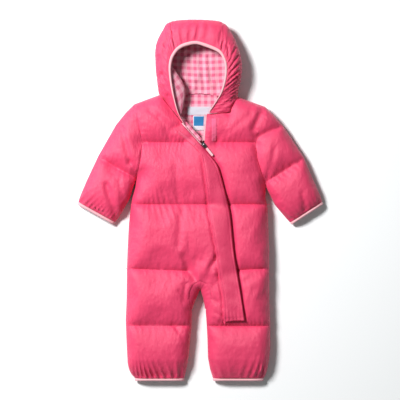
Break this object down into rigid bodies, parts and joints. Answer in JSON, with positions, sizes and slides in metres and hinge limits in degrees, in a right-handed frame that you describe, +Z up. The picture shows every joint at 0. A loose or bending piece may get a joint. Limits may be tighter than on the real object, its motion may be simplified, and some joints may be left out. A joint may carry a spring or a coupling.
{
  "type": "baby snowsuit",
  "caption": "Padded pink one-piece snowsuit for a baby, laid flat with the hood up, a long zip under a storm flap and a fleece lining with a small check.",
  "frame": {"origin": "centre of the bounding box in plan, on the surface the garment lies on", "axes": "+Y up the body to the hood, +Z up from the surface, +X to the wearer's left"},
  "size_m": [0.514, 0.7595, 0.0603],
  "materials": {
    "shell": "quilted nylon, soft sheen",
    "lining": "brushed fleece, small check",
    "binding": "ribbed elastic",
    "zip_tape": "woven tape",
    "fastening": "hook and loop tape",
    "label": "woven satin",
    "size_label": "woven satin",
    "metal": "dark nickel, satin",
    "pull": "soft moulded"
  },
  "bodies": {
    "suit": {"front_right": "shell", "front_left": "shell", "front_left_shin": "shell", "back_right": "shell", "back_left": "shell", "crotch_gusset": "shell", "sleeve_right": "shell", "sleeve_left": "shell", "hood_side_right": "shell", "hood_centre": "shell", "hood_side_left": "shell", "storm_flap": "shell", "hood_lining_right": "lining", "hood_lining_left": "lining", "zip_facing": "lining", "neck_lining": "lining", "cuff_binding_right": "binding", "cuff_binding_left": "binding", "hem_binding_right": "binding", "hem_binding_left": "binding", "hood_binding": "binding", "zip_tape_right": "zip_tape", "zip_tape_left": "zip_tape", "flap_hook_tape": "fastening", "front_loop_tape": "fastening", "neck_label": "label", "size_label": "size_label", "zip_slider": "metal"},
    "pull": {"pull_bail": "metal", "pull_grip": "pull"}
  },
  "joints": [
    {"name": "zip_pull", "type": "hinge", "parent": "suit", "child": "pull", "pos_m": [0.0084, 0.1152, 0.04747], "axis": [-0.7772, -0.6292, 0], "range_deg": [0, 120]}
  ]
}
